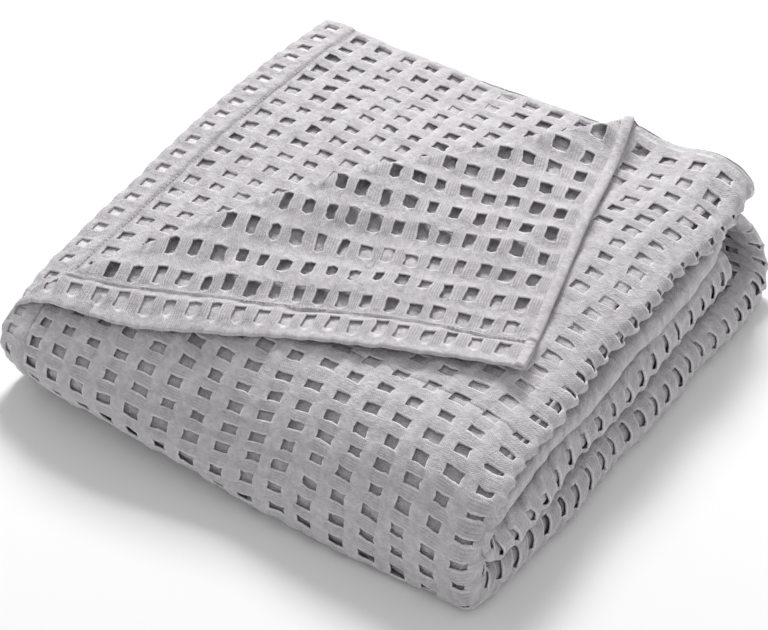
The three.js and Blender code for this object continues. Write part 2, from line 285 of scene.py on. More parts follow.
# %% Bends of the strip
SHOULDER = 8.0
SHOULDER_WIDE = 50.0
PUFF = 9.0
PUFF_AT = 158.0
PUFF_WIDE = 46.0


def level(run, place):
    """Height of a layer of a run before the pack settles: place goes from 1.5, outermost, to -1.5."""
    return mix(RUNS[run]["outer"], RUNS[run]["inner"], (TOP_LAYER - place) / (2 * TOP_LAYER))


def top_height(place, x, v):
    """Level of a layer of the top run, with its soft shoulder and its puffed back right corner."""
    near = unit((x - right["fold"](v)) / SHOULDER_WIDE + 1)
    puff = np.exp(-((x - PUFF_AT) / PUFF_WIDE) ** 2 - (v / PUFF_WIDE) ** 2)
    outer_share = (TOP_LAYER + place) / (2 * TOP_LAYER)
    return level("top", place) + (PUFF * puff - SHOULDER * near ** 2) * outer_share


def outer_bend(x, place):
    set_back = (TOP_LAYER - place) * front["pitch"](x)
    nose = front["nose"](x) + set_back
    foot = front["foot"](x) + FOOT_SHARE * set_back
    return {"crown": front["crown"](x), "nose": nose, "foot": foot,
            "rise": front["rise"](x), "round": front["round"](x)}


def inner_bend(x, place):
    nose = front["inner"](x) + (TOP_LAYER - place) * INNER_PITCH
    half = (level("second", place) - level("third", place)) / 2
    return {"crown": nose + half, "nose": nose, "foot": nose + half, "rise": 0.5, "round": 2.0}


def bend_point(bend, top, low, turn):
    """y and z on a bend: turn is 0 at its top, a half at its nose and 1 at its foot."""
    nose_z = mix(low, top, bend["rise"])
    angle = np.pi * turn
    power = 2 / bend["round"]
    out = np.abs(np.sin(angle)) ** power
    up = unit(np.cos(angle)) ** power
    upper = turn <= 0.5
    lower_y = mix(bend["foot"], bend["nose"], np.sin(angle))
    y = np.where(upper, mix(bend["crown"], bend["nose"], out), lower_y)
    z = np.where(upper, mix(nose_z, top, up), mix(nose_z, low, -np.cos(angle)))
    return y, z


print("outer bend in the middle", {name: float(size) for name, size in outer_bend(0.0, TOP_LAYER).items()})

# %% Even steps round the front bend
BEND_REACH = 226
ACROSS = np.linspace(-BEND_REACH, BEND_REACH, num=46)
TURNS = np.linspace(0, 1, num=321)
SHARES = np.linspace(0, 1, num=161)
# Keeps the last place just inside the table
INSIDE = 1.001


def even_turns():
    """Turns at equal steps of cloth round the front bend, for a few places across the pack."""
    rows = []
    for x in ACROSS:
        bend = outer_bend(np.full_like(TURNS, x), TOP_LAYER)
        y, z = bend_point(bend, level("top", TOP_LAYER), level("bottom", TOP_LAYER), TURNS)
        run = np.concatenate([[0], np.cumsum(np.hypot(np.diff(y), np.diff(z)))])
        rows.append(np.interp(SHARES, run / run[-1], TURNS))
    return np.array(rows)


TURN_TABLE = even_turns()


def turn_at(x, share):
    i = np.clip((x - ACROSS[0]) / (ACROSS[1] - ACROSS[0]), 0, len(ACROSS) - INSIDE)
    j = unit(share) * (len(SHARES) - INSIDE)
    i0 = i.astype(int)
    j0 = j.astype(int)
    low = mix(TURN_TABLE[i0, j0], TURN_TABLE[i0, j0 + 1], j - j0)
    high = mix(TURN_TABLE[i0 + 1, j0], TURN_TABLE[i0 + 1, j0 + 1], j - j0)
    return mix(low, high, i - i0)


print("turns worked out", TURN_TABLE.shape)

# %% Legs of the strip
# Each leg's length, the runs that it joins, and the end, 0 back or 1 front, where it starts and stops
LEGS = {
    "top": {"length": 368, "joins": ("top", "top"), "ends": (0, 1)},
    "front": {"length": 168, "joins": ("top", "bottom"), "ends": (1, 1)},
    "bottom": {"length": 402, "joins": ("bottom", "bottom"), "ends": (1, 0)},
    "back": {"length": 106, "joins": ("bottom", "second"), "ends": (0, 0)},
    "second": {"length": 372, "joins": ("second", "second"), "ends": (0, 1)},
    "inner": {"length": 56, "joins": ("second", "third"), "ends": (1, 1)},
    "third": {"length": 353, "joins": ("third", "third"), "ends": (1, 0)},
}
LEG_NAMES = list(LEGS)
LEG_LENGTHS = np.array([leg["length"] for leg in LEGS.values()], float)
LEG_ENDS = np.cumsum(LEG_LENGTHS)
LEG_STARTS = LEG_ENDS - LEG_LENGTHS
FRONT_HOLLOW = 0.75
CORNER_IN = 4.0
CORNER_LONG = 14.0


def leg_at(v):
    k = np.clip(np.searchsorted(LEG_ENDS, v, side="right"), 0, len(LEG_NAMES) - 1)
    return k, unit((v - LEG_STARTS[k]) / LEG_LENGTHS[k])


def run_sizes(k, f):
    """Sizes across the strip at each row: pitch of its layers, fold, drawn edge and weave at the fold."""
    v = LEG_STARTS[k] + f * LEG_LENGTHS[k]
    sizes = {name: np.empty_like(f) for name in ("pitch", "drawn", "phase", "second", "third")}
    sizes.update({name: curve(v) for name, curve in right.items()})
    for i, leg in enumerate(LEGS.values()):
        on = k == i
        start, stop = (RUNS[run] for run in leg["joins"])
        share = ease(f[on])
        pitch = [abs(run["outer"] - run["inner"]) / (2 * TOP_LAYER) for run in (start, stop)]
        sizes["pitch"][on] = mix(pitch[0], pitch[1], share)
        sizes["drawn"][on] = mix(start["drawn"][leg["ends"][0]], stop["drawn"][leg["ends"][1]], share)
        for name in ("phase", "second", "third"):
            sizes[name][on] = mix(start[name], stop[name], share)
        if leg is LEGS["front"]:
            for name in ("second", "third"):
                sizes[name][on] -= FRONT_HOLLOW * np.sin(np.pi * f[on])
    return sizes


print("strip length", LEG_ENDS[-1], "mm")


# %% Places on the strip
def along(leg, f, place, x):
    """y and z of a layer place on one leg of the strip."""
    if leg == "top":
        return mix(BACK, front["crown"](x), f), top_height(place, x, f * LEG_LENGTHS[0])
    if leg == "front":
        top = top_height(place, x, LEG_ENDS[0])
        return bend_point(outer_bend(x, place), top, level("bottom", place), turn_at(x, f))
    if leg == "bottom":
        return mix(outer_bend(x, place)["foot"], BACK_BEND, f), level("bottom", place)
    if leg == "back":
        half = (level("second", place) - level("bottom", place)) / 2
        angle = np.pi * f
        y = BACK_BEND + half * BACK_BULGE * np.sin(angle)
        return y, level("bottom", place) + half * (1 - np.cos(angle))
    if leg == "second":
        return mix(BACK_BEND, inner_bend(x, place)["crown"], f), level("second", place)
    if leg == "inner":
        return bend_point(inner_bend(x, place), level("second", place), level("third", place), f)
    return mix(inner_bend(x, place)["foot"], INNER_END, f), level("third", place)


def on_strip(k, f, place, x):
    y = np.empty_like(x)
    z = np.empty_like(x)
    for i, leg in enumerate(LEG_NAMES):
        on = k == i
        if on.any():
            y[on], z[on] = along(leg, f[on], place[on], x[on])
    return y, z


def right_fold(k, f, sizes):
    """x where the right-hand fold starts, with its gentle wave and its rounded corner at the back."""
    middle, _ = on_strip(k, f, np.full_like(f, TOP_LAYER), np.zeros_like(f))
    corner = CORNER_IN * np.exp(-f * LEG_LENGTHS[0] / CORNER_LONG) * (k == 0)
    return sizes["fold"] + WAVE * np.sin(2 * np.pi * (middle / WAVE_LENGTH + sizes["phase"])) - corner


MIDDLE_U = np.array([220.0])
MIDDLE_V = np.array([180.0])
beside = leg_at(MIDDLE_V)
print("right-hand fold beside the top's middle", right_fold(*beside, run_sizes(*beside)).round(1), "mm")

# %% [markdown]
# ## The turned-over corner
#
# The back left corner of the topmost layer is folded over a slanting line and lies on the pack with its
# hem forward. It could be a separate triangle, but a real corner is the same cloth, so the map carries the
# cloth round a small roll at the fold line and on to the far side.

# %% Fold line of the corner
FOLD_A = np.array([-207.2, -184.4])
FOLD_B = np.array([71.8, 208.4])
FOLD_LENGTH = float(np.hypot(*(FOLD_B - FOLD_A)))
FOLD_X, FOLD_Y = (FOLD_B - FOLD_A) / FOLD_LENGTH
FOLD_BOW = 24.0
BOW_LENGTH = 320.0
BOW_AT_HEM = 0.5
BOW_GROWTH = 2.0
ROLL_A = 4.0
ROLL_B = 3.6
PEAK_LIFT = 9.5
PEAK_LONG = 95.0
PEAK_WIDE = 24.0
SWELL_LIFT = 10.0
SWELL_AT = 0.4
SWELL_LONG = 0.27
SWELL_WIDE = 64.0


def across_fold(x, y):
    """Distance along the fold line and beyond it, towards the corner."""
    run = (x - FOLD_A[0]) * FOLD_X + (y - FOLD_A[1]) * FOLD_Y
    t = unit(run / BOW_LENGTH)
    bow = FOLD_BOW * (1 - ease(t)) * ease(BOW_AT_HEM + BOW_GROWTH * t)
    past = (y - FOLD_A[1]) * FOLD_X - (x - FOLD_A[0]) * FOLD_Y + bow
    return run, past


def corner_roll(run):
    """Radius of the roll at the fold line, a little fuller towards the hem."""
    return mix(ROLL_A, ROLL_B, unit(run / FOLD_LENGTH))


def loose_rise(x, y):
    """Rise of the top layer to the fold line: a peak at the back and a low swell further forward."""
    run, past = across_fold(x, y)
    peak = np.exp(-((run - FOLD_LENGTH) / PEAK_LONG) ** 2 - (past / PEAK_WIDE) ** 2)
    low_swell = np.exp(-((run / FOLD_LENGTH - SWELL_AT) / SWELL_LONG) ** 2)
    return PEAK_LIFT * peak + SWELL_LIFT * low_swell * ease(1 - np.abs(past) / SWELL_WIDE)


def top_level(x, y):
    """Height of the topmost layer over the plan, before the pack settles."""
    bend = outer_bend(x, TOP_LAYER)
    top = level("top", TOP_LAYER)
    nose_z = mix(level("bottom", TOP_LAYER), top, bend["rise"])
    out = unit((bend["crown"] - y) / (bend["crown"] - bend["nose"]))
    curve = unit(1 - out ** bend["round"]) ** (1 / bend["round"])
    return np.where(y >= bend["crown"], top, mix(nose_z, top, curve)) + loose_rise(x, y)


print("fold line", round(FOLD_LENGTH), "mm")

# %% Turning the corner, and settling
FLAP_SAG = 6.0
SAG_WIDE = 190.0
SAG_FROM = 60.0
FLAP_DEPTH = 250.0
FLAP_SKEW = (-5.0, -33.0)
FLAP_LIFT = 3.4
FLAP_SETTLE = 36.0
HEM_LIFT = 5.5
HEM_LIFT_WIDE = 40.0
HEM_LIFT_FROM = 20.0
DIP = 6.0
DIP_AT = 112.0
DIP_WIDE = 36.0
DIP_FROM = 60.0
DIP_LONG = 150.0


def turn_corner(x, y, z, upper):
    """Carries what lies past the fold line round its roll and down on to the top."""
    run, past = across_fold(x, y)
    roll = corner_roll(run)
    beyond = np.clip(past - np.pi * roll, 0, None)
    angle = np.clip(past / roll, 0, np.pi)
    turning = past < np.pi * roll
    shift = np.where(turning, roll * np.sin(angle), -beyond)
    lying = FLAP_LIFT + (2 * roll - FLAP_LIFT) * np.exp(-beyond / FLAP_SETTLE)
    lying += HEM_LIFT * unit(1 - (x - LEFT) / HEM_LIFT_WIDE) * ease(beyond / HEM_LIFT_FROM)
    lift = np.where(turning, roll * (1 - np.cos(angle)), lying)
    by_hem = ease(1 - (x - LEFT) / SAG_WIDE)
    sag = FLAP_SAG * by_hem * np.sin(np.pi * unit((y - FOLD_A[1]) / (BACK - FOLD_A[1])))
    move = shift - past - sag * ease(beyond / SAG_FROM)
    skew = beyond / FLAP_DEPTH
    over_x = x - FOLD_Y * move + FLAP_SKEW[0] * skew
    over_y = y + FOLD_X * move + FLAP_SKEW[1] * skew
    over = upper & (past > 0)
    high = np.where(over, top_level(over_x, over_y) + lift, z)
    return np.where(over, over_x, x), np.where(over, over_y, y), high


def settle(x, y, z):
    """Lets the pack sink under its weight, most at its front left and beside the peak."""
    share = unit((DROOP_FROM - x) / (DROOP_FROM - LEFT)) ** settled["spread"](y)
    dip = DIP * np.exp(-((x - DIP_AT) / DIP_WIDE) ** 2) * ease((y - DIP_FROM) / DIP_LONG)
    height = mix(settled["right"](y), settled["left"](y), share) - dip
    return np.stack([x - PACK_MIDDLE[0], y - PACK_MIDDLE[1], z * height / FULL_HEIGHT], -1)


print("settled height at the right of the back", float(settled["right"](BACK)), "mm")

# %% [markdown]
# ## Three maps of one cloth
#
# The outer layer runs from the wide hem at the left, over the top and round the right-hand folds. The bared
# layer is the one below it, with its own wide hem. The inner layers lie between them and show only through
# the windows and at the edges. Each map takes a place on the flat cloth and gives a place in the pack.

# %% Map of the outer layer
BLEND_FROM = 100.0
BLEND_OVER = 250.0
ROW_DRAW = 6.5
DRAWN_FROM = (20.0, 30.0)
DRAWN_TO = (240.0, 70.0)
DRAWN_RIGHT = (150.0, 100.0)
GATHER = 0.0016
GATHER_FROM = 395.0
GATHER_MOST = 0.2
GATHER_AT = 400.0
GATHER_LONG = 140.0
GATHER_TO = (560.0, 150.0)
FOLD_REACH = 12.0
TOP_SLOTS_LESS = 0.45
FOLD_SAG = 0.45
FOLD_WIDE = 1.5
SAG_LONG = 20.0


def rows_drawn(u, v):
    """Where the rows of windows lie: drawn forward on the top and gathered on the left of the front."""
    forward = ROW_DRAW * (ramp(v, *DRAWN_FROM) - ramp(v, *DRAWN_TO)) * ramp(u, *DRAWN_RIGHT)
    gather = np.clip(GATHER * (GATHER_FROM - u), 0, GATHER_MOST)
    return v + forward - gather * np.clip(v - GATHER_AT, 0, GATHER_LONG) * (1 - ramp(v, *GATHER_TO))


def outer_layer(u, v, turned=True):
    """Place of the outer layer, its turn round the right-hand fold, how near it is to that fold, and how
    far it is turned over with the corner."""
    k, f = leg_at(rows_drawn(u, v))
    sizes = run_sizes(k, f)
    roll = TOP_LAYER * sizes["pitch"]
    on_top = np.where(k == 0, 1.0, np.where(k == 1, 1 - ease(f), 0.0))
    wide = roll * mix(1.0, FOLD_WIDE, on_top)
    fold = right_fold(k, f, sizes)
    from_hem = LEFT + sizes["drawn"] + u
    from_fold = fold + np.pi * roll / 2 + u - sizes["mid"]
    flat = mix(from_hem, from_fold, ease((u - BLEND_FROM) / BLEND_OVER))
    start = fold - (wide - roll)
    half_round = np.pi * np.sqrt((roll ** 2 + wide ** 2) / 2)
    past = flat - start
    angle = np.pi * unit(past / half_round)
    beyond = np.clip(past - half_round, 0, None)
    near = ease((past + FOLD_REACH) / FOLD_REACH) * (1 - ease(beyond / FOLD_REACH))
    near *= 1 - TOP_SLOTS_LESS * on_top
    x = np.where(past <= 0, flat, start + wide * np.sin(angle) - beyond)
    sag = on_top * FOLD_SAG * (1 - np.cos(angle)) / 2 * np.exp(-beyond / SAG_LONG)
    y, z = on_strip(k, f, TOP_LAYER * np.cos(angle) - sag, x)
    upper = (k == 0) | ((k == 1) & (turn_at(x, f) < 0.5))
    over = ease(across_fold(x, y)[1] / (np.pi * ROLL_A)) * upper
    z = z + np.where(upper, loose_rise(x, y), 0)
    if turned:
        x, y, z = turn_corner(x, y, z, upper)
    return settle(x, y, z), angle, near, over


print("middle of the top", outer_layer(MIDDLE_U, MIDDLE_V)[0].round(1), "mm")

# %% Maps of the bared and inner layers
UNDER_STRETCH = 0.985
UNDER_PULL = 8.0
PULL_WIDE = 50.0
PULL_LONG = 200.0
# Stretches of the inner layers, with their lengths on the flat cloth
INNER = {"lower": 370.0, "left fold": 26.0, "middle": 415.0, "nested fold": 6.0, "under": 425.0}
INNER_ENDS = np.cumsum(list(INNER.values()))
LOWER_FROM = 42.0


def bared_layer(u, v):
    """Place of the bared layer, which has no fold at the right and no turned corner."""
    pulled = v + UNDER_PULL * np.exp(-u / PULL_WIDE - v / PULL_LONG)
    k, f = leg_at(pulled)
    sizes = run_sizes(k, f)
    x = UNDER_LEFT + sizes["drawn"] + u * UNDER_STRETCH
    y, z = on_strip(k, f, sizes["second"], x)
    still = np.zeros_like(u)
    return settle(x, y, z), still, still, still


def inner_layers(u, v):
    """Place of the inner layers, one cloth that goes back and forth between the outer ones."""
    k, f = leg_at(v)
    sizes = run_sizes(k, f)
    fold = right_fold(k, f, sizes)
    stretch = np.clip(np.searchsorted(INNER_ENDS, u, side="right"), 0, len(INNER) - 1)
    lengths = np.array(list(INNER.values()))
    share = unit((u - (INNER_ENDS - lengths)[stretch]) / lengths[stretch])
    turn = np.pi * share
    left_half = (sizes["third"] + TOP_LAYER) / 2
    nested_half = (sizes["second"] - sizes["third"]) / 2
    edge = FOLD_LEFT + sizes["drawn"]
    left = edge + left_half * sizes["pitch"]
    under_edge = UNDER_LEFT + sizes["drawn"]
    x = np.choose(stretch, [
        mix(fold - LOWER_FROM, left, share),
        left - left_half * sizes["pitch"] * np.sin(turn),
        mix(left, fold, share),
        fold + nested_half * sizes["pitch"] * np.sin(turn),
        mix(fold, under_edge, share),
    ])
    place = np.choose(stretch, [
        np.full_like(u, -TOP_LAYER),
        -TOP_LAYER + left_half * (1 - np.cos(turn)),
        sizes["third"],
        sizes["third"] + nested_half * (1 - np.cos(turn)),
        sizes["second"],
    ])
    y, z = on_strip(k, f, place, x)
    still = np.zeros_like(u)
    return settle(x, y, z), still, still, still


print("inner cloth", INNER_ENDS[-1], "mm across")

# %% [markdown]
# ## The weave
#
# In an open waffle the yarns are packed into plain strips with loose bars between them, and each strip and
# bar frames a window. The windows could be drawn with a transparent material, but their edges throw the
# small shadows that make this cloth, so they are cut from the mesh. The lines of the mesh follow the weave:
# some at the window's edges, some along each loose yarn, and some where a strip swells.

# %% Weave sizes, in millimetres
CELL_U = 25.0
CELL_V = 19.8
HALF_U = 6.5
HALF_V = 4.9
FIRST_U = 17.0
FIRST_V = 24.0
YARNS = 5
BAR = CELL_V - 2 * HALF_V
CLOTH = 1.4
HEM_TURN = 1.0
TURN_LENGTH = math.pi * HEM_TURN / 2
WIDE_HEM = 30.5
NARROW_HEM = 7.6
HEM_WINDOW = 12.5
HEM_HALF = 5.5
HEM_FROM = 5.0
HEM_BACK = 30.0
STITCH_AT = 29.0
print("window", 2 * HALF_U, "by", 2 * HALF_V, "mm, bar", BAR, "mm")

# %% Unevenness of the weave
SEED = 7
RANDOM_CELLS = (97, 101)
TABLES = ("shift_u", "shift_v", "size_u", "size_v", "bow_u", "bow_v", "puff", "skew")
# Each wave's share across and along the cloth, and its phase
WAVE_COUNT = 11
WAVE_LOW = (-1, -1, 0)
WAVE_HIGH = (1, 1, 6.3)
rng = np.random.default_rng(SEED)
uneven = {name: rng.uniform(-1, 1, RANDOM_CELLS) for name in TABLES}
waves = rng.uniform(WAVE_LOW, WAVE_HIGH, (WAVE_COUNT, len(WAVE_LOW)))


def swell(u, v, wavelength):
    """Soft unevenness of hand-folded cloth, from a few crossing waves."""
    total = np.zeros_like(u)
    for across, down, phase in waves:
        total += np.sin(2 * np.pi * (across * u + down * v) / wavelength + phase)
    return total / math.sqrt(WAVE_COUNT)


print("random cells", RANDOM_CELLS, "waves", WAVE_COUNT)


# %% Windows on the flat cloth
def cell_lines(first, cell, half, start, stop, inside, outside):
    """Mesh lines of a row of cells: shares of the half window first, then shares of what lies beyond it."""
    lines = []
    for i in range(start, stop):
        centre = first + cell * i
        lines += [centre + half * share for share in inside]
        lines += [centre + half + (cell - 2 * half) * share for share in outside]
    return lines


def cell_place(u, v, first_u, first_v):
    """Number of the nearest window across and along the cloth, and the distances from its middle."""
    q = np.round((u - first_u) / CELL_U).astype(int)
    r = np.round((v - first_v) / CELL_V).astype(int)
    return q, r, u - first_u - CELL_U * q, v - first_v - CELL_V * r


def window_middle(u, v, first_u, first_v):
    """Middle of the nearest window."""
    q, r, _, _ = cell_place(u, v, first_u, first_v)
    return first_u + CELL_U * q, first_v + CELL_V * r


def in_window(u, v, first_u, first_v, hem_swap):
    """Whether a place on the flat cloth is open. In the doubled hem only the cloth that shows is open: the
    inner one up to hem_swap, where the corner is turned over, and the turned one beyond it."""
    _, _, a, b = cell_place(u, v, first_u, first_v)
    row = (v > NARROW_HEM) & (np.abs(b) < HALF_V)
    first = np.where(v < hem_swap, HEM_FROM, HEM_BACK)
    hem = (np.abs(-u - TURN_LENGTH - HEM_WINDOW) < HEM_HALF) & (v > hem_swap)
    return row & ((u > first) & (np.abs(a) < HALF_U) | hem)


print("first window", FIRST_U, "mm from the hem,", FIRST_V, "mm from the back edge")

# %% Relief of the weave
STRAY = 1.3
RESIZE = 0.9
SKEW = 0.1
BOW_U = 0.12
BOW_V = 0.08
BOW_UNEVEN = 0.4
# Shrinking of the windows on the top and below it, and where along the cloth it changes
SHRINK_U = (0.15, 0.35)
SHRINK_V = (0.1, 0.45)
SHRUNK = (300.0, 60.0)
OVER_SHRINK = 0.5
OVER_ARCH = 1.3
OVER_VARY = 0.1
RAGGED = 0.42
RAGGED_WAVE = 7.0
SLOT = 1.8
SLOT_FLARE = 0.4
STRIP_PUFF = 0.5
STRIP_UNEVEN = 0.3
STRIP_WAVE = 31.0
WINDOW_PUFF = 0.3
EDGE_SINK = 0.35
BAR_SINK = 0.1
YARN_RIDGE = 0.22
YARN_LOOSE = 0.22
YARN_STRAY = 0.9
YARN_WAVE = 23.0
RIB = 0.7
# How sharply the painted highlight on the window rims falls off
RIM_HIGHLIGHT_SHARP = 6
# Painted shade in the gaps between the loose yarns, and more of it on the turned corner
GAP_SHADE = 0.4
GAP_SHADE_OVER = 0.45
RUFFLE = 2.1
RUFFLE_FROM = 0.5
SLACK = 0.01


def weave_relief(u, v, first_u, first_v, near_fold, over):
    """Shift along the cloth, height off it, a painted highlight on the window rims and painted shade in the
    gaps between loose yarns.
    """
    q, r, a, b = cell_place(u, v, first_u, first_v)
    pick = {name: table[q % RANDOM_CELLS[0], r % RANDOM_CELLS[1]] for name, table in uneven.items()}
    open_cloth = (u > HEM_FROM) & (v > NARROW_HEM)
    near_a = unit((CELL_U / 2 - np.abs(a)) / (CELL_U / 2 - HALF_U)) * open_cloth
    near_b = unit((CELL_V / 2 - np.abs(b)) / (CELL_V / 2 - HALF_V)) * open_cloth
    inside_a = unit(np.abs(a) / HALF_U)
    inside_b = unit(np.abs(b) / HALF_V)
    side_a = np.sign(a) * np.minimum(near_a, inside_a)
    side_b = np.sign(b) * np.minimum(near_b, inside_b)
    both = near_a * near_b
    vary = 1 + OVER_VARY * over
    lower = ramp(v, *SHRUNK)
    bow_u = (BOW_U + BOW_UNEVEN * pick["bow_u"]) * (1 - inside_b ** 2)
    bow_v = (BOW_V + BOW_UNEVEN * pick["bow_v"]) * (1 - inside_a ** 2)
    arch = OVER_SHRINK - OVER_ARCH * (1 - inside_b ** 2)
    drawn_u = mix(bow_u + mix(*SHRINK_U, lower), arch, over)
    drawn_v = bow_v * (1 - over) + mix(*SHRINK_V, lower)
    shift_u = both * (STRAY * vary * pick["shift_u"] + RAGGED * swell(u, v, RAGGED_WAVE))
    shift_u += side_a * near_b * (RESIZE * vary * pick["size_u"] - drawn_u)
    shift_v = both * (STRAY * pick["shift_v"] + SKEW * pick["skew"] * a + RAGGED * swell(v, u, RAGGED_WAVE))
    shift_v += side_b * near_a * (RESIZE * vary * pick["size_v"] - drawn_v)
    shift_v -= side_b * SLOT * near_fold * (1 + SLOT_FLARE * inside_a ** 2)
    strip = 1 - near_a ** 2
    bar = near_a * (1 - near_b ** 2)
    across_bar = ((b - HALF_V) % CELL_V) / BAR
    loose = near_a ** 2 * (np.abs(b) > HALF_V - SLACK) * open_cloth
    threads = YARN_RIDGE + YARN_LOOSE * np.maximum(over, near_fold)
    yarn = -np.cos(2 * np.pi * YARNS * across_bar + YARN_STRAY * swell(u, v, YARN_WAVE))
    height = (STRIP_PUFF + STRIP_UNEVEN * swell(u, v, STRIP_WAVE)) * strip * open_cloth
    height += WINDOW_PUFF * pick["puff"] * both - EDGE_SINK * both ** 2
    height += (threads * yarn - BAR_SINK) * loose + RIB * bar * near_fold
    # Painted highlight on the window rims, where the frayed yarn edges catch the light
    rim_highlight = np.minimum(near_a, near_b) ** RIM_HIGHLIGHT_SHARP
    # Painted shade in the gaps between the loose yarns, deeper on the turned corner
    gap_shade = loose * (1 - yarn) / 2 * (GAP_SHADE + GAP_SHADE_OVER * over)
    return shift_u, shift_v, height, rim_highlight, gap_shade


def ruffle(v, first_v, angle):
    """Height of the ruffle of the bars round a right-hand fold."""
    return RUFFLE * np.cos(2 * np.pi * (v - first_v) / CELL_V) * unit(np.sin(angle - RUFFLE_FROM))


print("ridges on a bar", YARNS)

# %% Hems
HEM_END = 0.84
HEM_SINK = 0.8
HEM_UNDER = 0.3
HEM_PUCKER = 0.6
PUCKERED = (18.0, 14.0)
SEAM_WIDE = 3.6
SEAM_RISE = 0.8
SEAM_UNEVEN = 0.25
SEAM_WAVE = 21.0
GROOVE_WIDE = 1.1
GROOVE_DEEP = 2.1
# Painted shade in the seam's groove along the stitches
GROOVE_SHADE = 0.7
UNSEWN = 0.8
UNSEWN_FROM = (375.0, 40.0)


def hem_fold(h, side, width, roll):
    """Distance from a hem's edge, and height where the cloth doubles back, sinking at the hem's end."""
    angle = np.clip(h / HEM_TURN, -np.pi / 2, np.pi / 2)
    on_edge = np.abs(h) < TURN_LENGTH
    distance = np.where(on_edge, -HEM_TURN * np.cos(angle), np.abs(h) - TURN_LENGTH)
    round_hem = roll * np.sin(np.pi * unit(distance / width))
    sink = HEM_SINK * ramp(distance, HEM_END * width, (1 - HEM_END) * width)
    lying = np.where(h < 0, 2 * HEM_TURN * (1 - sink) + round_hem, -HEM_UNDER * round_hem)
    return distance, side * np.where(on_edge, HEM_TURN * (1 - np.sin(angle)), lying)


def hem_relief(u, v, first_v):
    """Height of the wide hem's puckers and seam, and the painted shade in the groove along its stitches."""
    pucker = HEM_PUCKER * np.cos(2 * np.pi * (v - first_v) / CELL_V) * (1 - ramp(u, *PUCKERED))
    groove = np.exp(-((u - STITCH_AT) / GROOVE_WIDE) ** 2)
    seam = np.exp(-((u - STITCH_AT) / SEAM_WIDE) ** 2) - GROOVE_DEEP * groove
    sewn = 1 - UNSEWN * ramp(v, *UNSEWN_FROM)
    height = pucker + seam * sewn * (SEAM_RISE + SEAM_UNEVEN * swell(u, v, SEAM_WAVE))
    # The groove's darkness is painted shade
    return height, GROOVE_SHADE * groove * sewn


print("hems", WIDE_HEM, "and", NARROW_HEM, "mm")

# %% [markdown]
# ## The cotton
#
# Washed cotton is matt, a little fuzzy and unevenly grey, and its loose yarns catch the light at the
# windows. One flat grey would be simpler, but it looks like felt. So noise at the sizes of fuzz, crinkles
# and slubs tints and roughens it, and marks on the mesh paint a highlight on the window rims and paint
# shade into the gaps between loose yarns and into the seam's groove.

# %% Cloth finish
FLAT_SPAN = 2.0
GREY_LIGHT = "#e4e1e4"
GREY_DEEP = "#bcb8bd"
# Colour of the painted highlight on the window rims
GREY_RIM_HIGHLIGHT = "#f8f5f8"
# Colour of the painted shade in the gaps between yarns and in the seam's groove
GREY_GAP_SHADE = "#8f8c90"
# Yarns are about 0.6 mm apart, which is too fine to show, so they are drawn at YARN_DRAWN
YARN_DRAWN = 1.7
# Widths of the fuzz, the crinkles and the slubs, in millimetres
FUZZ = 2.2667
CRINKLE = 5.3125
SLUB = 18.889
# Shares of the yarns and the crinkles in the relief, of two patterns in the tone, and of the painted shade
# in the gaps
WOVEN_SHARE = 0.12
CRINKLE_SHARE = 0.9
TONE_SHARE = 0.5
GAP_SHADE_SHARE = 0.7
TONE_LOW = 0.65
TONE_HIGH = 1.35
# The colour sockets of a Mix node
MIX_A = 6
MIX_B = 7
MIXED = 2
COTTON = {
    "Roughness": 0.92,
    "Specular IOR Level": 0.2,
    "Sheen Weight": 0.1,
    "Sheen Roughness": 0.6,
    "Subsurface Weight": 0.4,
    "Subsurface Radius": (1.0, 1.0, 1.0),
    "Subsurface Scale": 0.0015,
}


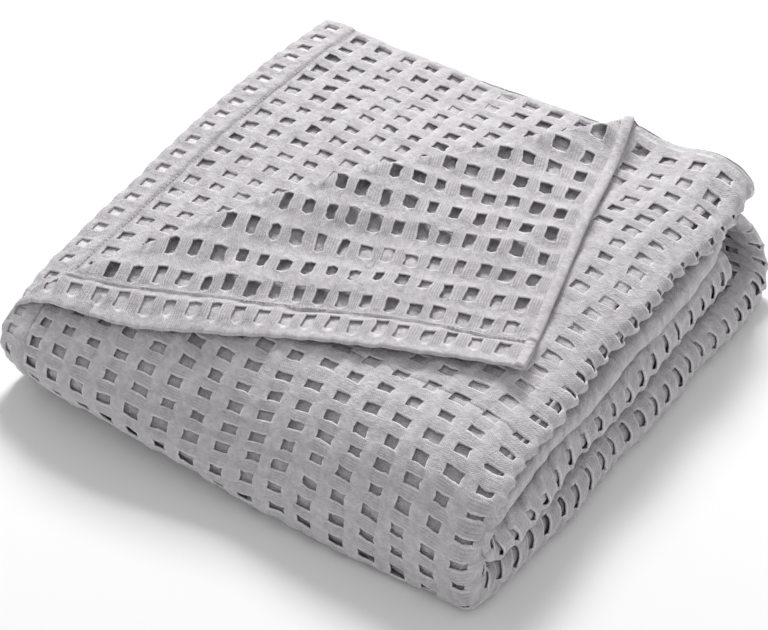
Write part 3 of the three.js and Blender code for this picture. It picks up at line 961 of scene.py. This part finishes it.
def cotton():
    """Washed cotton in a plain weave: matt and a little fuzzy, with a painted highlight on the window rims
    where the frayed yarn edges catch the light, and painted shade in the gaps between yarns.
    """
    finish = bpy.data.materials.new("washed light grey cotton")
    finish.use_nodes = True
    tree = finish.node_tree
    shader = tree.nodes["Principled BSDF"]
    for socket, value in COTTON.items():
        shader.inputs[socket].default_value = value
    place = add_node(tree, "ShaderNodeUVMap", uv_map="cloth")
    yarns = FLAT_SPAN / (YARN_DRAWN * MM)
    at_yarns = add_node(tree, "ShaderNodeMapping", [("Scale", (yarns, yarns, 1.0))],
                        [("Vector", place.outputs["UV"])])
    here = [("Vector", at_yarns.outputs["Vector"])]
    axes = add_node(tree, "ShaderNodeSeparateXYZ", (), here)
    ways = []
    for axis in ("X", "Y"):
        turn = add_node(tree, "ShaderNodeMath", [(1, 2 * math.pi)], [(0, axes.outputs[axis])],
                        operation="MULTIPLY")
        ways.append(add_node(tree, "ShaderNodeMath", (), [(0, turn.outputs[0])], operation="SINE"))
    woven = add_node(tree, "ShaderNodeMath", (), [(i, way.outputs[0]) for i, way in enumerate(ways)],
                     operation="MULTIPLY")
    fuzz = add_node(tree, "ShaderNodeTexNoise",
                    [("Scale", YARN_DRAWN / FUZZ), ("Detail", 3.0), ("Roughness", 0.6)], here)
    crinkle = add_node(tree, "ShaderNodeTexNoise",
                       [("Scale", YARN_DRAWN / CRINKLE), ("Detail", 3.0), ("Distortion", 0.3)], here)
    slub = add_node(tree, "ShaderNodeTexNoise",
                    [("Scale", YARN_DRAWN / SLUB), ("Detail", 4.0), ("Roughness", 0.6)], here)
    grain = add_node(tree, "ShaderNodeMath", [(1, WOVEN_SHARE)],
                     [(0, woven.outputs[0]), (2, fuzz.outputs["Fac"])], operation="MULTIPLY_ADD")
    relief = add_node(tree, "ShaderNodeMath", [(1, CRINKLE_SHARE)],
                      [(0, crinkle.outputs["Fac"]), (2, grain.outputs[0])], operation="MULTIPLY_ADD")
    bump = add_node(tree, "ShaderNodeBump", [("Strength", 0.8), ("Distance", 0.002)],
                    [("Height", relief.outputs[0])])
    tree.links.new(bump.outputs["Normal"], shader.inputs["Normal"])
    blotch = add_node(tree, "ShaderNodeMath", [(1, TONE_SHARE)],
                      [(0, fuzz.outputs["Fac"]), (2, crinkle.outputs["Fac"])], operation="MULTIPLY_ADD")
    tone = add_node(tree, "ShaderNodeMath", [(1, TONE_SHARE)],
                    [(0, slub.outputs["Fac"]), (2, blotch.outputs[0])], operation="MULTIPLY_ADD")
    shade = add_node(tree, "ShaderNodeMapRange", [("From Min", TONE_LOW), ("From Max", TONE_HIGH)],
                     [("Value", tone.outputs[0])])
    plain = add_node(tree, "ShaderNodeMix", [(MIX_A, linear(GREY_DEEP)), (MIX_B, linear(GREY_LIGHT))],
                     [(0, shade.outputs["Result"])], data_type="RGBA")
    # The window rims get a painted highlight
    rim_highlight = add_node(tree, "ShaderNodeAttribute", attribute_name="rim_highlight")
    with_rim_highlight = add_node(tree, "ShaderNodeMix", [(MIX_B, linear(GREY_RIM_HIGHLIGHT))],
                      [(0, rim_highlight.outputs["Fac"]), (MIX_A, plain.outputs[MIXED])], data_type="RGBA")
    # The gaps between yarns and the seam's groove get painted shade
    gap_shade = add_node(tree, "ShaderNodeAttribute", attribute_name="gap_shade")
    part_gap_shade = add_node(tree, "ShaderNodeMath", [(1, GAP_SHADE_SHARE)], [(0, gap_shade.outputs["Fac"])],
                        operation="MULTIPLY")
    colour = add_node(tree, "ShaderNodeMix", [(MIX_B, linear(GREY_GAP_SHADE))],
                      [(0, part_gap_shade.outputs[0]), (MIX_A, with_rim_highlight.outputs[MIXED])], data_type="RGBA")
    tree.links.new(colour.outputs[MIXED], shader.inputs["Base Color"])
    return finish


finish = cotton()
print("finish", finish.name)

# %% [markdown]
# ## Cutting and laying the cloth
#
# Each stretch of cloth starts as a plain grid. The faces that fall in windows are deleted, the grid is bent
# by its map, and a Solidify modifier gives the thickness. A cloth simulation could fold it, but it would
# not land on the solid's folds, and the windows would need far more faces than a part may have.

# %% Cutting the grid
NEAR = 0.6
TINY = 1e-9


def surface(layer, u, v):
    """Place and normal of a layer."""
    place = layer(u, v)[0]
    along_u = layer(u + NEAR, v)[0] - layer(u - NEAR, v)[0]
    along_v = layer(u, v + NEAR)[0] - layer(u, v - NEAR)[0]
    normal = np.cross(along_v, along_u)
    return place, normal / (np.linalg.norm(normal, axis=1, keepdims=True) + TINY)


def cut_grid(u_lines, v_lines, first_u, first_v, hem_swap, closed):
    """A plain grid on those lines with its windows cut out, and each vertex's place on the flat cloth."""
    across = len(u_lines) - 1
    down = len(v_lines) - 1
    bm = bmesh.new()
    bmesh.ops.create_grid(bm, x_segments=across, y_segments=down, size=0.5)
    centre = np.array([face.calc_center_median()[:2] for face in bm.faces]) + 0.5
    i = np.floor(centre[:, 0] * across).astype(int)
    j = np.floor(centre[:, 1] * down).astype(int)
    middle_u = (u_lines[i] + u_lines[i + 1]) / 2
    middle_v = (v_lines[j] + v_lines[j + 1]) / 2
    open_face = in_window(middle_u, middle_v, first_u, first_v, hem_swap)
    if closed:
        open_face &= ~closed(*window_middle(middle_u, middle_v, first_u, first_v))
    bm.faces.ensure_lookup_table()
    bmesh.ops.delete(bm, geom=[bm.faces[n] for n in np.flatnonzero(open_face)], context="FACES")
    corner = np.array([vert.co[:2] for vert in bm.verts]) + 0.5
    u = u_lines[np.round(corner[:, 0] * across).astype(int)]
    v = v_lines[np.round(corner[:, 1] * down).astype(int)]
    return bm, u, v


def cloth_mesh(name, bm, place, flat_u, flat_v, marks):
    """The cut grid bent into place, with the flat cloth as its UV map and its marks on its points."""
    mesh = bpy.data.meshes.new(name)
    bm.to_mesh(mesh)
    bm.free()
    mesh.vertices.foreach_set("co", (place * MM).astype(np.float32).ravel())
    corners = np.empty(len(mesh.loops), np.int32)
    mesh.loops.foreach_get("vertex_index", corners)
    flat = np.stack([flat_u, flat_v], -1)[corners] * MM / FLAT_SPAN
    mesh.uv_layers.new(name="cloth").data.foreach_set("uv", flat.astype(np.float32).ravel())
    for mark, amount in marks.items():
        mesh.attributes.new(mark, "FLOAT", "POINT").data.foreach_set("value", amount.astype(np.float32))
    return mesh


def dress(name, mesh):
    """Makes a mesh a piece of the cover, in its cotton."""
    mesh.polygons.foreach_set("use_smooth", np.ones(len(mesh.polygons), bool))
    mesh.materials.append(finish)
    mesh.update()
    piece = bpy.data.objects.new(name, mesh)
    bpy.context.scene.collection.objects.link(piece)
    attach(piece, "root")
    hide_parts("duvet_cover")
    return piece


print("cloth", CLOTH, "mm thick")

# %% Laying a stretch of cloth
WIDE_HEM_ROLL = 0.2
SIDE_HEM_ROLL = 1.4
CALM = 0.85
NEVER = 1e9
# Wavelength and height of the soft unevenness
SWELLS = ((95.0, 0.8), (38.0, 0.45), (15.0, 0.3))


def soft_crease(u, v, start, stop, rise, wide):
    """A soft ridge or trough between two places on the cloth."""
    ends = np.array(stop, float) - np.array(start, float)
    length = np.hypot(*ends)
    run = ((u - start[0]) * ends[0] + (v - start[1]) * ends[1]) / length
    aside = ((u - start[0]) * ends[1] - (v - start[1]) * ends[0]) / length
    fade = ease(0.5 + run / wide / 2) * ease(0.5 + (length - run) / wide / 2)
    return rise * fade * np.exp(-(aside / wide) ** 2)


def lay_cloth(name, layer, u_lines, v_lines, first_v, first_u=FIRST_U, hems=False, hem_swap=NEVER,
              uneven_share=1.0, creases=(), closed=None, calm=None, with_pieces=()):
    """Cuts a stretch of cloth, bends it by its layer's map and gives it the cloth's thickness."""
    u_lines = np.array(sorted(u_lines))
    v_lines = np.array(sorted(v_lines))
    bm, flat_u, flat_v = cut_grid(u_lines, v_lines, first_u, first_v, hem_swap, closed)
    u, u_height = hem_fold(flat_u, 1.0, WIDE_HEM, WIDE_HEM_ROLL) if hems else (flat_u, 0.0)
    v, v_height = hem_fold(flat_v, -1.0, NARROW_HEM, SIDE_HEM_ROLL) if hems else (flat_v, 0.0)
    _, angle, near, over = layer(u, v)
    shift_u, shift_v, height, rim_highlight, gap_shade = weave_relief(flat_u, flat_v, first_u, first_v, near, over)
    # Shut windows get no painted rim highlight
    if closed:
        rim_highlight = rim_highlight * ~closed(*window_middle(flat_u, flat_v, first_u, first_v))
    height = height + ruffle(v, first_v, angle)
    if calm:
        height = height * (1 - CALM * calm(u, v))
    height = height + u_height + v_height
    if hems:
        seam, groove = hem_relief(u, v, first_v)
        height = height + seam
        # The painted shade of the seam's groove joins the painted shade of the gaps
        gap_shade = np.maximum(gap_shade, groove)
    for wavelength, amount in SWELLS:
        height = height + uneven_share * amount * swell(u, v, wavelength)
    for crease in creases:
        height = height + soft_crease(u, v, **crease)
    u = u + np.where(flat_u < TURN_LENGTH, 0, shift_u)
    v = v + np.where(flat_v < TURN_LENGTH, 0, shift_v)
    place, normal = surface(layer, u, v)
    place = place + normal * height[:, None]
    place[:, 2] = np.maximum(place[:, 2], CLOTH / 2)
    # The marks carry the painted rim highlight and the painted shade of the gaps
    mesh = cloth_mesh(name, bm, place, flat_u, flat_v, {"rim_highlight": rim_highlight, "gap_shade": gap_shade})
    piece = dress(name, mesh)
    thick = piece.modifiers.new("cloth thickness", "SOLIDIFY")
    thick.thickness = CLOTH * MM
    thick.offset = 0.0
    return piece


print("soft unevenness over", [wavelength for wavelength, _ in SWELLS], "mm")

# %% Rows of stitches
STITCH = {"length": 3.0, "wide": 0.9, "apart": 3.7, "stray": 0.25}


def stitch_row(name, layer, start, stop, height):
    """A row of thread stitches between two places on the cloth, at a height off it."""
    count = int(math.dist(start, stop) / STITCH["apart"])
    share = (np.arange(count) + 0.5) / count
    u = mix(start[0], stop[0], share) + STITCH["stray"] * rng.uniform(-1, 1, count)
    v = mix(start[1], stop[1], share)
    place, normal = surface(layer, u, v)
    onward = np.gradient(place, axis=0)
    onward /= np.linalg.norm(onward, axis=1, keepdims=True)
    aside = np.cross(normal, onward)
    bm = bmesh.new()
    bmesh.ops.create_uvsphere(bm, u_segments=6, v_segments=4, radius=0.5)
    dot = np.array([vert.co for vert in bm.verts])
    faces = [[vert.index for vert in face.verts] for face in bm.faces]
    bm.free()
    axes = np.stack([onward * STITCH["length"], aside * STITCH["wide"], normal * STITCH["wide"]], 1)
    points = (place + normal * height)[:, None, :] + np.einsum("pk,nkc->npc", dot, axes)
    mesh = bpy.data.meshes.new(name)
    joined = [[i + n * len(dot) for i in face] for n in range(count) for face in faces]
    mesh.from_pydata(points.reshape(-1, 3) * MM, [], joined)
    print(name, count, "stitches")
    return dress(name, mesh)


print("stitches", STITCH["apart"], "mm apart")

# %% [markdown]
# ## The outer layer
#
# This is the cloth that shows most: the top, the turned-over corner and the rounded front. Its left edge
# has the wide end hem, turned to the face, and its back edge the narrow rolled hem, turned to the reverse.
# The hems could be thick strips laid on top, but here the cloth itself doubles back. Rows of stitches hold
# them down.

# %% Mesh lines of the outer layer
WINDOW_FINE = (-1.0, -0.5, 0.0, 0.5, 1.0)
WINDOW_PLAIN = (-1.0, 0.0, 1.0)
WINDOW_COARSE = (-1.0, 1.0)
STRIP_FINE = (0.1, 0.3, 0.5, 0.7, 0.9)
BAR_FINE = tuple(i / (2 * YARNS) for i in range(1, 2 * YARNS))
MIDDLE = (0.5,)
# Distances from the hem's edge on the turned cloth, then on the cloth under it
HEM_PLAIN = (WIDE_HEM + 0.5, 25.0, 21.0, 4.0, 1.6)
SEAM_LINES = (0.9, 0.0, -0.9)
HEM_BASE_LINES = [TURN_LENGTH + d for d in (2.5, 5.5)] + [STITCH_AT - 1.0, STITCH_AT, STITCH_AT + 1.3]
hem_distances = [STITCH_AT + d for d in SEAM_LINES] + [HEM_WINDOW + HEM_HALF * d for d in WINDOW_FINE]
HEM_LINES = [-(TURN_LENGTH + d) for d in (*HEM_PLAIN, *hem_distances)]
TURN_LINES = [TURN_LENGTH * t for t in WINDOW_FINE]
SIDE_LINES = [-(TURN_LENGTH + d) for d in (NARROW_HEM + 0.4, 7.4, 5.8, 4.2, 2.6, 1.0)]
SIDE_BASE_LINES = [TURN_LENGTH + d for d in (2.0, 4.5, 7.0)]
CLEAR_OF_HEM = TURN_LENGTH + 8.0
COLUMNS = 19
TOP_ROWS = 17
LAST_ROW = 28
LOWER_ROWS = 93


def fine_columns(start, stop):
    return cell_lines(FIRST_U, CELL_U, HALF_U, start, stop, WINDOW_FINE, STRIP_FINE)


def fine_rows(first_v, start, stop):
    lead = [first_v + CELL_V * start - HALF_V - BAR * share for share in BAR_FINE]
    return lead + cell_lines(first_v, CELL_V, HALF_V, start, stop, WINDOW_PLAIN, BAR_FINE)


hem_columns = HEM_LINES + TURN_LINES + HEM_BASE_LINES
side_edge_rows = SIDE_LINES + TURN_LINES + SIDE_BASE_LINES
outer_columns = hem_columns + fine_columns(0, COLUMNS)
rows = fine_rows(FIRST_V, 0, LAST_ROW + 1)
split = FIRST_V + CELL_V * TOP_ROWS
lower_start = FIRST_V + CELL_V * LAST_ROW
top_rows = side_edge_rows + [line for line in rows if CLEAR_OF_HEM < line <= split]
front_rows = [line for line in rows if split <= line <= lower_start]
print("lines across", len(outer_columns), "on the top", len(top_rows), "on the front", len(front_rows))

# %% Outer layer
HEM_SWAP = 410.0
FLAT_TO = 385.0
# Reach of the shut windows: before and after the roll, under the corner, inside its edges and in its hem
SHUT = {"before": 5.0, "after": 8.0, "under": 4.0, "edge": 14.0, "hem": 4.0}
# Soft folds of the turned corner, read from the photograph: the reverse is up there, so a ridge is negative
CORNER_FOLDS = [
    {"start": (51, 275), "stop": (58, 90), "rise": -3.2, "wide": 9.0},
    {"start": (80, 250), "stop": (84, 130), "rise": 1.0, "wide": 12.0},
    {"start": (112, 215), "stop": (135, 90), "rise": -3.2, "wide": 13.0},
    {"start": (110, 60), "stop": (150, 20), "rise": -3.4, "wide": 15.0},
]
CORNER_STITCHES = {
    "corner_hem_stitches": {"start": (STITCH_AT, 8.0), "stop": (STITCH_AT, 330.0), "height": -1.0},
    "corner_side_stitches": {"start": (6.0, NARROW_HEM), "stop": (210.0, NARROW_HEM), "height": -1.0},
}


def shut_on_top(u, v):
    """Windows on the roll of the turned corner, and those it covers, which are drawn shut."""
    x = LEFT + u
    y = BACK - v
    run, past = across_fold(x, y)
    rolled = (past > -SHUT["before"]) & (past < np.pi * corner_roll(run) + SHUT["after"])
    mirror_x = x + 2 * past * FOLD_Y
    mirror_y = y - 2 * past * FOLD_X
    inside = (mirror_x > LEFT + SHUT["edge"]) & (mirror_y < BACK - SHUT["edge"])
    covered = (past < -SHUT["under"]) & inside
    return (covered | rolled & ((u > HEM_BACK) | (past < SHUT["hem"]))) & (v < FLAT_TO)


corner_stitches = [stitch_row(name, outer_layer, **row) for name, row in CORNER_STITCHES.items()]
lay_cloth("top_and_corner", outer_layer, outer_columns, top_rows, FIRST_V, hems=True, hem_swap=HEM_SWAP,
          creases=CORNER_FOLDS, closed=shut_on_top, with_pieces=corner_stitches)
lay_cloth("front", outer_layer, outer_columns, front_rows, FIRST_V, hems=True, hem_swap=HEM_SWAP,
          closed=shut_on_top)

# %% [markdown]
# ## The bared layer
#
# Where the corner is turned over, the next layer shows with its own hems. It is the same cloth lying a
# little askew, so it has its own map and its rows start at another place.

# %% Bared layer
BARED_FIRST_V = 14.0
BARED_COLUMNS = 16
BARED_ROWS = 21
BARED_COVER = 12.0
BARED_STITCHES = {"start": (STITCH_AT, 6.0), "stop": (STITCH_AT, 390.0), "height": 1.3}
bared_columns = hem_columns + fine_columns(0, BARED_COLUMNS)
bared_rows = [line for line in fine_rows(BARED_FIRST_V, 0, BARED_ROWS) if line > CLEAR_OF_HEM]


def shut_below(u, v):
    """Windows of the bared layer that the top covers."""
    return across_fold(UNDER_LEFT + u * UNDER_STRETCH, BACK - v)[1] < -BARED_COVER


bared_stitches = stitch_row("bared_hem_stitches", bared_layer, **BARED_STITCHES)
lay_cloth("bared_layer", bared_layer, bared_columns, side_edge_rows + bared_rows, BARED_FIRST_V, hems=True,
          hem_swap=0.0, closed=shut_below, with_pieces=[bared_stitches])

# %% [markdown]
# ## The lower runs
#
# At the right the strip's folds lie one above the other, and their windows wrap round them as slots. At
# the back the strip bends up from the floor. Both show, so they are cut as finely as the top. What lies
# between them is seen only at its edges and through windows, so its mesh is coarse.

# %% Folds at the right
SIDE_COLUMN = 15
SECOND = LEG_NAMES.index("second")
RUN_SOFT = 20.0
strip_end = LEG_ENDS[-1]
side_rows = cell_lines(FIRST_V, CELL_V, HALF_V, LAST_ROW, LOWER_ROWS, WINDOW_PLAIN, BAR_FINE)
side_rows = [line for line in side_rows if lower_start <= line < strip_end]
side_edge = FIRST_U + CELL_U * SIDE_COLUMN - CELL_U / 2
side_columns = [line for line in fine_columns(SIDE_COLUMN - 1, COLUMNS) if line > side_edge - SLACK]


def second_run(u, v):
    """Share of the second run, whose fold shows only as a thin plain band."""
    begun = ramp(v, LEG_STARTS[SECOND] - RUN_SOFT / 2, RUN_SOFT)
    return begun * (1 - ramp(v, LEG_ENDS[SECOND] - RUN_SOFT / 2, RUN_SOFT))


def shut_in_second(u, v):
    return second_run(u, v) > 0.5


lay_cloth("side_folds", outer_layer, side_columns, side_rows, FIRST_V, hems=True, calm=second_run,
          closed=shut_in_second)

# %% Floor, back and rolled layers
BACK_ROWS = (46, 54)


def coarse_columns(first_u, start, stop):
    return cell_lines(first_u, CELL_U, HALF_U, start, stop, WINDOW_COARSE, MIDDLE)


def coarse_rows(first_v, start, stop):
    return cell_lines(first_v, CELL_V, HALF_V, start, stop, WINDOW_COARSE, MIDDLE)


back_start, back_stop = (FIRST_V + CELL_V * (row - 0.5) for row in BACK_ROWS)
plain_columns = hem_columns + coarse_columns(FIRST_U, 0, SIDE_COLUMN)
plain_rows = [line for line in coarse_rows(FIRST_V, LAST_ROW, LOWER_ROWS) if lower_start < line < strip_end]
floor_rows = [lower_start] + [line for line in plain_rows if line < back_start - SLACK] + [back_start]
back_columns = hem_columns + [line for line in fine_columns(0, SIDE_COLUMN) if line < side_edge + SLACK]
back_rows = [line for line in fine_rows(FIRST_V, *BACK_ROWS) if back_start < line < back_stop]
rolled_rows = [back_stop] + [line for line in plain_rows if line > back_stop + SLACK]
LOWER_PIECES = [
    {"name": "floor_layer", "u_lines": plain_columns, "v_lines": floor_rows},
    {"name": "back_bend", "u_lines": back_columns, "v_lines": [back_start] + back_rows + [back_stop]},
    {"name": "rolled_layer", "u_lines": plain_columns, "v_lines": rolled_rows},
]
for lines in LOWER_PIECES:
    lay_cloth(layer=outer_layer, first_v=FIRST_V, hems=True, hem_swap=HEM_SWAP, **lines)

# %% [markdown]
# ## The inner layers
#
# Inside the pack the cloth goes on back and forth, and only its folds show, at the left and between the
# runs. It could be left out, but the pack would then look hollow through the windows. It is laid as a
# coarse cloth with its windows shut, because other layers cover them.

# %% Inner layers
INNER_FIRST_U = 7.5
INNER_START = 6.0
INNER_CELLS = (1, 50)
INNER_APART = 2.0
INNER_EDGE_ROWS = [0.0, 8.0]
left_fold, left_end, nested_fold, nested_end, inner_end = (float(end) for end in INNER_ENDS)
turn_lines = [*np.linspace(left_fold, left_end, num=7), *np.linspace(nested_fold, nested_end, num=5)]
flat_lines = [line for line in coarse_columns(INNER_FIRST_U, *INNER_CELLS) if line < inner_end]
flat_lines = [line for line in flat_lines if min(abs(line - turn) for turn in turn_lines) > INNER_APART]
inner_columns = [INNER_START] + flat_lines + turn_lines
upper_columns = [line for line in inner_columns if line <= nested_end]
upper_rows = [line for line in coarse_rows(FIRST_V, 0, LAST_ROW) if line < lower_start]
upper_rows = INNER_EDGE_ROWS + upper_rows + [lower_start]


def all_shut(u, v):
    """Windows of a layer that other cloth covers everywhere."""
    return np.ones_like(u, bool)


INNER_PIECES = [
    {"name": "inner_upper", "u_lines": upper_columns, "v_lines": upper_rows},
    {"name": "inner_lower", "u_lines": inner_columns, "v_lines": [lower_start] + plain_rows},
]
for lines in INNER_PIECES:
    lay_cloth(layer=inner_layers, first_v=FIRST_V, first_u=INNER_FIRST_U, uneven_share=0.0, closed=all_shut,
              **lines)

# %% [markdown]
# ## The layer just behind
#
# Through the windows of the front and of the right-hand folds the next layer shows close behind. The inner
# layers could be drawn up to it, but their folds lie deeper there. So a plain lining with no windows
# follows the outer layer, a few millimetres behind it.

# %% Layer just behind
BEHIND = 4.3
BEHIND_FOLD = 3.8
BEHIND_RUFFLE = 0.5
BEHIND_UNEVEN = 0.5
BEHIND_SWELL = 70.0
FOLD_STEP = 3.0
PLAIN_STEP = 12.5
FRONT_FROM = 2.0
FOLD_FROM = 396.0
FOLD_TO = 474.0
# Half cells from the first window where the linings of the top, the front and the side start and stop
TOP_HALVES = (-2, 36)
FRONT_HALVES = (36, 61)
SIDE_FROM = 57


def unturned_layer(u, v):
    return outer_layer(u, v, turned=False)


def layer_behind(u, v):
    """The next layer, close behind the outer one on the front and in the right-hand folds."""
    place, normal = surface(unturned_layer, u, v)
    _, angle, near, _ = unturned_layer(u, v)
    depth = mix(BEHIND, BEHIND_FOLD, near) + BEHIND_UNEVEN * swell(u, v, BEHIND_SWELL)
    depth -= BEHIND_RUFFLE * ruffle(v, FIRST_V, angle)
    still = np.zeros_like(u)
    return place - normal * depth[:, None], still, still, still


def all_calm(u, v):
    return np.ones_like(u)


def half_rows(start, stop):
    """Mesh lines at the middles of the windows and of the bars between them."""
    return [FIRST_V + CELL_V / 2 * i for i in range(start, stop + 1)]


fold_columns = list(np.arange(FOLD_FROM, FOLD_TO, FOLD_STEP))
front_columns = list(np.arange(FRONT_FROM, FOLD_FROM, PLAIN_STEP)) + fold_columns
last_half = int((strip_end - FIRST_V) / (CELL_V / 2)) - 1
BEHIND_PIECES = [
    {"name": "behind_top_fold", "u_lines": fold_columns, "v_lines": half_rows(*TOP_HALVES)},
    {"name": "behind_front", "u_lines": front_columns, "v_lines": half_rows(*FRONT_HALVES)},
    {"name": "behind_side_folds", "u_lines": fold_columns, "v_lines": half_rows(SIDE_FROM, last_half)},
]
for lines in BEHIND_PIECES:
    lay_cloth(layer=layer_behind, first_v=FIRST_V, closed=all_shut, calm=all_calm, **lines)
